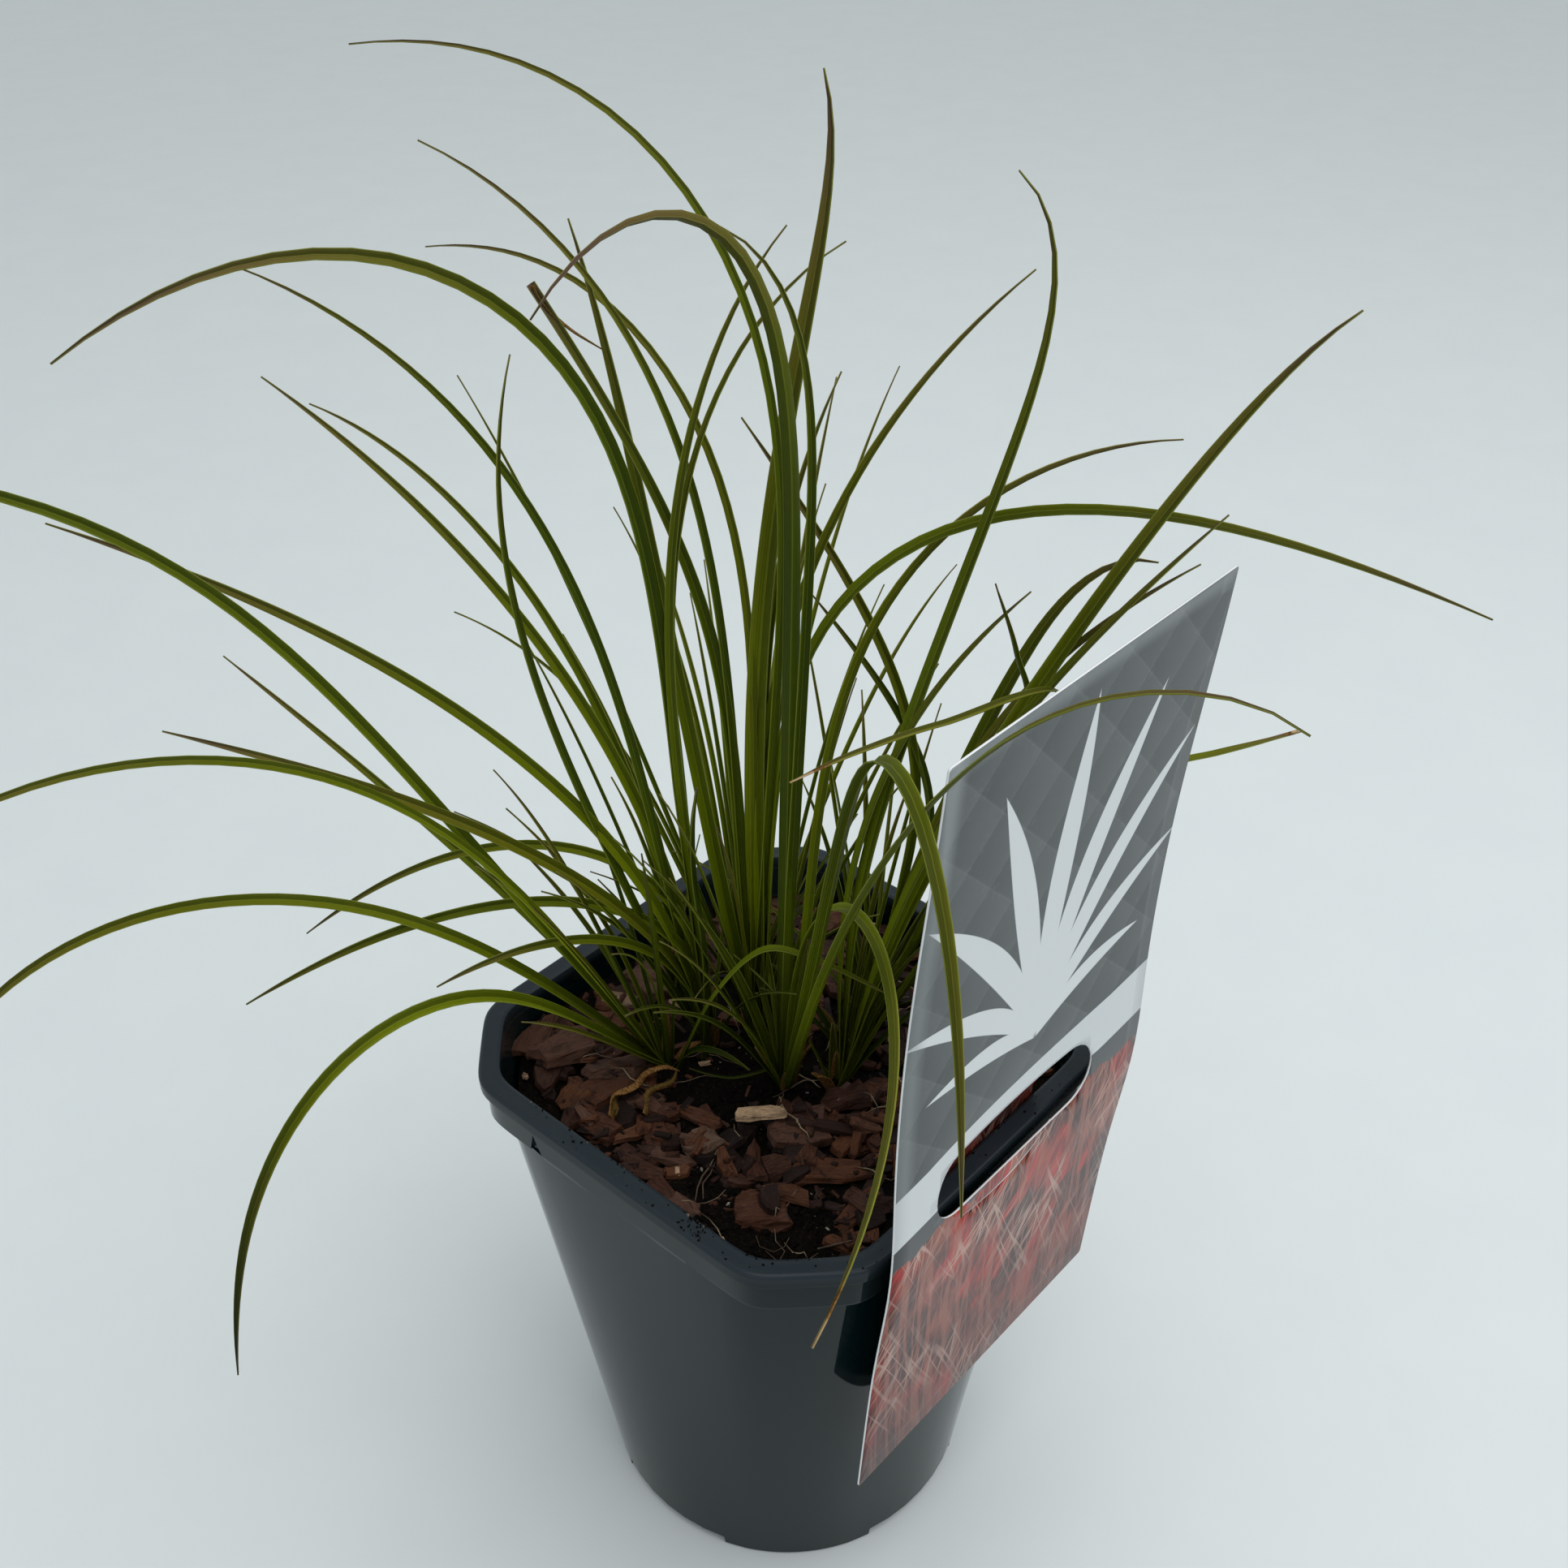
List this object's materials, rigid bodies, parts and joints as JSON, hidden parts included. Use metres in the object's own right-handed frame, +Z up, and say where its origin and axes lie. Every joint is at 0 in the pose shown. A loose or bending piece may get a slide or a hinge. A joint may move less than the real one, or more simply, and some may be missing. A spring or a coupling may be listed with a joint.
{
  "type": "potted carex sedge",
  "caption": "Ornamental sedge with arching narrow leaves, growing in a black square-rimmed nursery pot under bark mulch, with a blank plant label hooked over the rim.",
  "frame": {"origin": "centre of the pot's floor disc, on the plane that the pot stands on", "axes": "+Z up along the pot's axis; the pot's flat sides face +-X and +-Y; the plant label hangs on the -Y side"},
  "size_m": [0.3562, 0.3277, 0.4266],
  "materials": {
    "pot_plastic": "smooth injection-moulded black plastic with a soft gloss",
    "soil": "dark crumbly peat-based potting compost",
    "bark": "rough reddish-brown pine bark chips",
    "label_card": "glossy printed plastic card",
    "leaf": "living leaf, satin, olive green with bronze tips"
  },
  "bodies": {
    "root": {"pot": "pot_plastic", "potting_soil": "soil", "bark_mulch": "bark", "plant_label": "label_card", "tuft_middle": "leaf", "tuft_middle_left": "leaf", "tuft_left": "leaf", "tuft_back": "leaf", "tuft_front": "leaf", "tuft_front_right": "leaf", "tuft_right": "leaf", "tuft_far_right": "leaf"}
  },
  "joints": []
}
